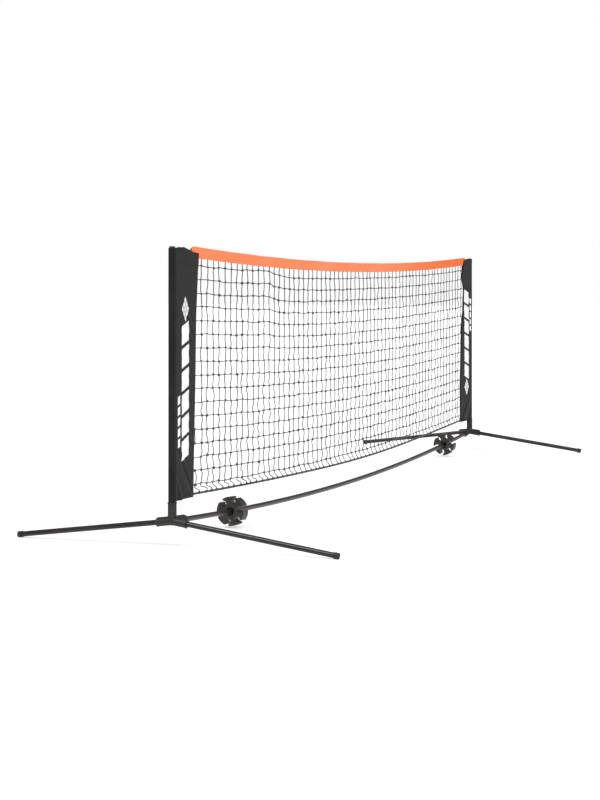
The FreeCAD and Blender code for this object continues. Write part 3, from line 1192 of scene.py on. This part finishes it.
@dataclass
class Headband:
    """The bright tape, folded over the headline and sewn to the netting underneath.

    Attributes:
        line: The tape's middle line.
        into_left: How far its left end runs on inside the sleeve.
        into_right: The same on the right.
        corner_run: Length over which the folded corner at each end is rounded off.
        corner_drop: How far that corner comes down.
        half_thick: About half the thickness of the folded tape.
        fold_radius: Radius of the fold along its top.
        ply: Thickness of one layer.
        spacing: Distance between the sections that it is made from.
    """

    line: SagLine
    into_left: float = 0.046
    into_right: float = 0.036
    height: float = 34.0 * MM
    corner_run: float = 20.0 * MM
    corner_drop: float = 7.0 * MM
    half_thick: float = 1.5 * MM
    fold_radius: float = 2.3 * MM
    ply: float = 0.9 * MM
    spacing: float = 11.0 * MM
    stitch_pitch: float = 6.0 * MM
    seed: int = 5

    def __post_init__(self) -> None:
        """Draws the small waves along the tape."""
        rng = random.Random(self.seed)
        self.waves = [(rng.uniform(3.0, 26.0), rng.uniform(0, math.tau), rng.uniform(0.3, 1.0))
                      for _ in range(7)]

    def wave(self, x: float, phase: float) -> float:
        """A small uneven wave along the tape, within about one unit either way."""
        total = sum(share * math.sin(rate * x + start + phase * rate * 0.35)
                    for rate, start, share in self.waves)
        return total / sum(share for _, _, share in self.waves)

    def section(self, x: float) -> list[Vector]:
        """The folded tape at x: from the back's lower edge over the top to the front's lower edge."""
        z = self.line.z(x) + 0.8 * MM * self.wave(x * 1.3, 4.0)
        half = self.height / 2
        out = 1.1 * MM * self.wave(x, 0.0)
        low = -half + 0.5 * MM * self.wave(x * 2.1, 2.0)
        from_end = min(x - self.line.start + self.into_left, self.line.end + self.into_right - x)
        short = max(0.0, 1.0 - from_end / self.corner_run)
        top = half - self.fold_radius - self.corner_drop * (1.0 - math.sqrt(1.0 - min(short, 1.0) ** 2))
        bulge = 0.6 * MM * self.wave(x * 1.7, 1.0)
        edge = self.half_thick * 0.55
        back, front = [], []
        for share in (0.0, 0.12, 0.3, 0.5, 0.7, 0.88, 1.0):
            depth = edge + (self.fold_radius - edge) * smooth(0.1, 1.0, share)
            level = z + low + (top - low) * share
            crease = 0.35 * MM * math.sin(share * 9 + 2 * self.wave(x, 3.0))
            back.append(Vector((x, out + depth + crease, level)))
            front.append(Vector((x, out - depth - bulge * math.sin(math.pi * share) + crease, level)))
        crown = [Vector((x, out + self.fold_radius * math.cos(a), z + top + self.fold_radius * math.sin(a)))
                 for a in (math.pi / 4, math.pi / 2, 3 * math.pi / 4)]
        return back + crown + front[::-1]

    def build(self) -> None:
        """Makes the tape with its stitching."""
        first, last = self.line.start - self.into_left, self.line.end + self.into_right
        count = round((last - first) / self.spacing)
        rows = [self.section(x) for x in steps(first, last, count)]
        tape = woven_grid("headband_tape", rows, closed=False)
        thicken(tape, self.ply)
        hang(tape, Finish.TAPE, "band_tape", "headband")
        stitches = hang(self.stitches(), Finish.BRIGHT_THREAD, "band_tape")
        2 * self.height + 4 * MM
        last - first

    def stitches(self) -> bpy.types.Object:
        """The line of stitches along the tape's lower edge, on both faces."""
        paths = []
        x = self.line.start + 4 * MM
        while x < self.line.end - 8 * MM:
            for face, way in ((-3, -1), (2, 1)):
                ends = [self.section(x + step * self.stitch_pitch)[face] for step in (0.0, 0.33, 0.66)]
                lift = Vector((0, way * (self.ply / 2), 0))
                paths.append([ends[0] + lift * 0.4, ends[1] + lift * 1.5, ends[2] + lift * 0.4])
            x += self.stitch_pitch
        piece = thread_curve("headband_stitches", paths, 0.35 * MM, sides=0, resolution=1)
        soften(piece, 60)
        return piece


@dataclass
class BottomCord:
    """The braided cord under the netting, from one sleeve's lower corner to the other's."""

    diameter: float = 7.0 * MM
    length: float = 2.72
    route: tuple[tuple[float, float], ...] = (
        (-1.3624, 0.1385), (-1.150, 0.1295), (-0.850, 0.1185), (-0.500, 0.1085), (-0.100, 0.1005),
        (0.300, 0.1015), (0.650, 0.1110), (1.000, 0.1235), (1.3554, 0.1385))

    def centreline(self) -> list[Vector]:
        """The route's smooth line, read from its NURBS spline."""
        curve = bpy.data.curves.new("cord_route", "CURVE")
        curve.dimensions = "3D"
        curve.resolution_u = 24
        add_spline(curve, [Vector((x, 0.0, z)) for x, z in self.route])
        holder = bpy.data.objects.new("cord_route", curve)
        mesh = bpy.data.meshes.new_from_object(holder)
        line = [v.co.copy() for v in mesh.vertices]
        bpy.data.meshes.remove(mesh)
        bpy.data.objects.remove(holder)
        return line

    def build(self) -> "BottomCord":
        """Makes the cord and keeps its centreline for the netting's loops."""
        self.line = self.centreline()
        radius, sides = self.diameter / 2, 16
        rows = []
        for k, place in enumerate(self.line):
            ahead = (self.line[min(k + 1, len(self.line) - 1)] - self.line[max(k - 1, 0)]).normalized()
            up = ahead.cross(Vector((0, 1, 0)))
            rows.append([place + radius * (math.cos(a) * up + math.sin(a) * Vector((0, 1, 0)))
                         for a in steps(0, math.tau, sides + 1)[:-1]])
        cord = woven_grid("bottom_cord_braid", rows, closed=True)
        scale = 1 / (math.tau * radius)
        for item in cord.data.uv_layers[0].data:
            item.uv = (item.uv[0] * scale, item.uv[1])
        with editing(cord):
            bpy.ops.mesh.fill_holes(sides=0)
        with editing(cord):
            bpy.ops.mesh.normals_make_consistent(inside=False)
        soften(cord, 50)
        hang(cord, Finish.CORD, "net_cord", "bottom_cord")
        return self

    def z(self, x: float) -> float:
        """The cord's height at x, on its centreline."""
        line = self.line
        x = min(max(x, line[0].x), line[-1].x)
        k = next(i for i in range(len(line) - 1) if x <= line[i + 1].x)
        a, b = line[k], line[k + 1]
        return a.z + (b.z - a.z) * (x - a.x) / (b.x - a.x)


@dataclass
class Netting:
    """Knotted twine: uprights, rows, the knots where they cross, and the loops round the cord.

    Attributes:
        tape: The tape that it hangs from.
        cord: The cord that it is laced to.
        sleeves: The left and the right sleeve, whose inner edges end the rows.
        first_x: X of the upright numbered 0.
        columns: Numbers of the first and last upright.
        first_drop: Distance of the first row under the tape.
        twine: Radius of the uprights.
        row_twine: Radius of the rows.
        knot: Radius of the knots.
        ruck: How far the first row stands above its even line, by X, where the netting has bunched up.
        ruck_depth: Distance under the tape at which the ruck has died away.
    """

    tape: Headband
    cord: BottomCord
    sleeves: tuple[Sleeve, Sleeve]
    first_x: float = -1.310
    pitch_x: float = 0.0424
    columns: tuple[int, int] = (-1, 64)
    rows: int = 17
    first_drop: float = 0.0215
    pitch_z: float = 0.0405
    twine: float = 1.5 * MM
    row_twine: float = 1.55 * MM
    knot: float = 3.5 * MM
    seed: int = 11
    ruck: Profile = Profile(((-1.34, 0.0), (-1.10, 2 * MM), (-0.92, 6 * MM), (-0.80, 9 * MM),
                             (-0.75, -2 * MM), (-0.60, -8 * MM), (-0.25, -5 * MM), (0.20, 0.0)))
    ruck_depth: float = 0.36

    def __post_init__(self) -> None:
        """Places the knots."""
        rng = random.Random(self.seed)
        self.knots: dict[tuple[int, int], Vector] = {}
        self.numbers = range(self.columns[0], self.columns[1] + 1)
        for column in self.numbers:
            lean = rng.uniform(-1, 1) * 2 * MM
            for row in range(self.rows):
                x = self.first_x + column * self.pitch_x + lean + rng.uniform(-1, 1) * 3.0 * MM
                z = self.row_z(x, row) + rng.uniform(-1, 1) * 1.8 * MM
                self.knots[column, row] = Vector((x, rng.uniform(-1, 1) * 1.2 * MM, z))
        self.rng = rng

    def row_z(self, x: float, row: int) -> float:
        """Height of a row at x: every row follows the tape."""
        drop = self.first_drop + row * self.pitch_z
        ruck = self.ruck(x) * max(0.0, 1.0 - drop / self.ruck_depth)
        return self.tape.line.z(x) - self.tape.height / 2 - drop + ruck

    def limits(self, z: float) -> tuple[float, float]:
        """X of the two sleeves' inner edges at a height."""
        left, right = self.sleeves
        return left.post_x + left.width(z), right.post_x - right.width(z)

    def shown(self, column: int, row: int) -> bool:
        """Whether a knot lies between the sleeves."""
        place = self.knots[column, row]
        low, high = self.limits(place.z)
        return low + 5 * MM < place.x < high - 5 * MM

    def wander(self, a: Vector, b: Vector, size: float, share: float = 0.5) -> Vector:
        """A control point at a share of the way between two knots, a little off the straight line."""
        shift = Vector((self.rng.uniform(-1, 1), self.rng.uniform(-0.6, 0.6), self.rng.uniform(-1, 1))) * size
        return a.lerp(b, share) + shift

    def loop(self, knot: Vector, column: int) -> list[Vector]:
        """The last stretch of an upright: slanting down to the cord and once round it.

        Args:
            knot: The upright's last knot.
            column: The upright's number.

        Returns:
            Control points after the knot.
        """
        slant = self.rng.uniform(20, 34) * MM
        x = min(knot.x + slant, self.cord.line[-1].x - 4 * MM)
        z, r = self.cord.z(x), self.cord.diameter / 2 + 0.3 * self.twine
        curl = self.rng.uniform(10, 20) * MM * smooth(16.0, 4.0, column) + self.rng.uniform(-2, 3) * MM
        bends = [Vector((knot.x + slant * share + curl * way, self.rng.uniform(-2, 2) * MM,
                         knot.z * (1 - share) + z * share + self.rng.uniform(-2, 2) * MM))
                 for share, way in ((0.30, -0.8), (0.62, 1.0))]
        turns = [(0.0, -0.9 * r, 0.5 * r), (1.2, -0.75 * r, -0.7 * r), (2.4, 0.75 * r, -0.7 * r),
                 (3.4, 0.9 * r, 0.5 * r), (1.6, 0.0, 1.2 * r)]
        return bends + [Vector((x + dx * MM, dy, z + dz)) for dx, dy, dz in turns]

    def upright_paths(self) -> list[list[Vector]]:
        """Control points of every upright, in runs between the sleeves."""
        paths = []
        for column in self.numbers:
            run: list[Vector] = []
            for row in range(self.rows):
                place = self.knots[column, row]
                if not self.shown(column, row):
                    if len(run) > 1:
                        paths.append(run)
                    run = []
                    continue
                if row == 0:
                    under = self.tape.line.z(place.x) - self.tape.height / 2 + 2 * MM
                    run = [Vector((place.x + self.rng.uniform(-2, 2) * MM, 0.0, under))]
                if run:
                    start, loose = run[-1], (2.0 + 4.5 * row / self.rows) * MM
                    run += [self.wander(start, place, loose, share) for share in (0.34, 0.68)]
                run.append(place)
            if run and self.shown(column, self.rows - 1):
                run += self.loop(run[-1], column)
            if len(run) > 1:
                paths.append(run)
        return paths

    def row_paths(self) -> list[list[Vector]]:
        """Control points of every row, from one sleeve's edge to the other's."""
        paths = []
        for row in range(self.rows):
            places = [self.knots[column, row] for column in self.numbers if self.shown(column, row)]
            low, high = self.limits(places[0].z)[0], self.limits(places[-1].z)[1]
            ends = (Vector((low - 2 * MM, 0.0, places[0].z + 1 * MM)),
                    Vector((high + 2 * MM, 0.0, places[-1].z + 1 * MM)))
            path = [ends[0]]
            for place in places + [ends[1]]:
                path += [self.wander(path[-1], place, 1.5 * MM) - Vector((0, 0, 0.6 * MM)), place]
            paths.append(path)
        return paths

    def knot_shape(self) -> bpy.types.Object:
        """One small lumpy knot about the origin, made from a low-poly ball."""
        clear_selection()
        bpy.ops.mesh.primitive_uv_sphere_add(segments=8, ring_count=5, radius=self.knot)
        knot = bpy.context.object
        for vertex in knot.data.vertices:
            angle = math.atan2(vertex.co.y, vertex.co.x)
            vertex.co *= 1.0 + 0.22 * math.cos(2 * angle) + 0.10 * math.sin(3 * angle + 1)
        return knot

    def build(self) -> None:
        """Makes the netting."""
        uprights = thread_curve("net_uprights", self.upright_paths(), self.twine)
        rows = thread_curve("net_rows", self.row_paths(), self.row_twine)
        places = []
        for (column, row), place in self.knots.items():
            if self.shown(column, row):
                turn = Matrix.Rotation(self.rng.uniform(0, math.pi), 4, "Y")
                tip = Matrix.Rotation(math.pi / 2 + self.rng.uniform(-0.4, 0.4), 4, "X")
                size = Matrix.Scale(self.rng.uniform(0.8, 1.2), 4)
                places.append(Matrix.Translation(place) @ turn @ tip @ size)
        knots = joined_copies("net_knots", self.knot_shape(), places)
        for piece in (uprights, rows, knots):
            soften(piece, 80)
            hang(piece, Finish.TWINE, "net_twine", "net_mesh")


# --------------------------------------------------------------------------------------- the studio


@dataclass
class Studio:
    """A pale floor, soft lights and the camera.

    Attributes:
        eye: The camera's place.
        heading: Its direction from +X towards +Y, in degrees.
        lens: Its focal length in millimetres.
        rise: Its vertical lens shift.
        floor_reach: Half the floor's size.
        sky: Strength of the surround that lights the net.
        suns: Each light's name, the azimuth and elevation it comes from, how wide it is across the
            sky, all in degrees, and its strength. Azimuth runs from +X towards +Y.
    """

    eye: tuple[float, float, float] = (-5.710, -2.133, 0.773)
    heading: float = 22.40
    lens: float = 73.57
    rise: float = -0.151
    floor_reach: float = 40.0
    sky: float = 0.30
    suns: tuple[tuple[str, float, float, float, float], ...] = (
        ("overhead", -100.0, 66.0, 70.0, 1.9),
        ("front_left", -125.0, 30.0, 50.0, 0.9),
        ("rear_left", 152.0, 50.0, 14.0, 1.6),
        ("far_right", -17.0, 8.0, 14.0, 0.05))

    def camera(self) -> None:
        """Places the camera level, with the horizon raised by a lens shift."""
        data = bpy.data.cameras.new("camera")
        data.lens, data.sensor_width, data.shift_y = self.lens, 36.0, self.rise
        data.clip_end = 100.0
        camera = bpy.data.objects.new("camera", data)
        camera.location = self.eye
        camera.rotation_euler = (math.pi / 2, 0.0, math.radians(self.heading - 90.0))
        bpy.context.scene.collection.objects.link(camera)
        bpy.context.scene.camera = camera

    def floor(self) -> None:
        """Lays the floor just under the feet."""
        clear_selection()
        bpy.ops.mesh.primitive_plane_add(size=2 * self.floor_reach, location=(0, 0, -0.2 * MM))
        floor = bpy.context.object
        floor.name = "studio_floor"
        dress(floor, Finish.FLOOR)

    def lights(self) -> None:
        """Adds the broad, even lights from far away."""
        for name, azimuth, elevation, spread, strength in self.suns:
            data = bpy.data.lights.new(name, "SUN")
            data.angle, data.energy = math.radians(spread), strength
            lamp = bpy.data.objects.new(name, data)
            lamp.rotation_euler = (0.0, math.radians(90.0 - elevation), math.radians(azimuth))
            bpy.context.scene.collection.objects.link(lamp)

    def backdrop(self) -> None:
        """A white surround that the camera sees, and a dimmer one that lights the net."""
        world = bpy.data.worlds.new("studio")
        world.use_nodes = True
        nodes, links = world.node_tree.nodes, world.node_tree.links
        seen, glow = nodes["Background"], nodes.new("ShaderNodeBackground")
        for background, strength in ((seen, 1.0), (glow, self.sky)):
            background.inputs["Color"].default_value = grey(1.0)
            background.inputs["Strength"].default_value = strength
        path, mix = nodes.new("ShaderNodeLightPath"), nodes.new("ShaderNodeMixShader")
        links.new(path.outputs["Is Camera Ray"], mix.inputs[0])
        links.new(glow.outputs[0], mix.inputs[1])
        links.new(seen.outputs[0], mix.inputs[2])
        links.new(mix.outputs[0], nodes["World Output"].inputs["Surface"])
        bpy.context.scene.world = world

    def build(self) -> None:
        """Builds the studio."""
        self.camera()
        self.floor()
        self.lights()
        self.backdrop()
        bpy.context.scene.view_settings.view_transform = "Standard"


def make_sleeves() -> tuple[Sleeve, Sleeve]:
    """The two sleeves with their own outlines."""
    bottom = Profile(((-0.012, 0.1330), (0.030, 0.1330), (0.080, 0.1345), (0.140, 0.1365)))
    left = Sleeve(
        Side.LEFT,
        width=Profile(((0.132, 0.137), (0.300, 0.1415), (0.480, 0.1495), (0.660, 0.155), (0.790, 0.162),
                       (0.860, 0.165))),
        top=Profile(((-0.012, 0.864), (0.020, 0.8635), (0.040, 0.868), (0.058, 0.8715), (0.080, 0.868),
                     (0.100, 0.865), (0.120, 0.860), (0.170, 0.857))),
        bottom=bottom, pull=5 * MM, drop=7 * MM, seed=3)
    right = Sleeve(
        Side.RIGHT,
        width=Profile(((0.132, 0.147), (0.310, 0.149), (0.400, 0.141), (0.494, 0.137), (0.540, 0.130),
                       (0.586, 0.120), (0.632, 0.110), (0.680, 0.104), (0.725, 0.096), (0.752, 0.103),
                       (0.787, 0.124), (0.824, 0.106), (0.858, 0.096))),
        top=Profile(((-0.012, 0.866), (0.030, 0.867), (0.050, 0.8645), (0.075, 0.866), (0.100, 0.861))),
        bottom=bottom, pull=6 * MM, drop=6 * MM, seed=8)
    return left, right


def main() -> None:
    """Builds the studio and the net, piece by piece."""
    logging.basicConfig(level=logging.INFO, format="%(message)s")
    Studio().build()
    Frame().build()
    cord = BottomCord().build()
    sleeves = make_sleeves()
    for sleeve in sleeves:
        sleeve.build()
    tape = Headband(SagLine.inside("headband", Headband.height / 2))
    tape.build()
    Netting(tape, cord, sleeves).build()


if __name__ == "__main__":
    main()
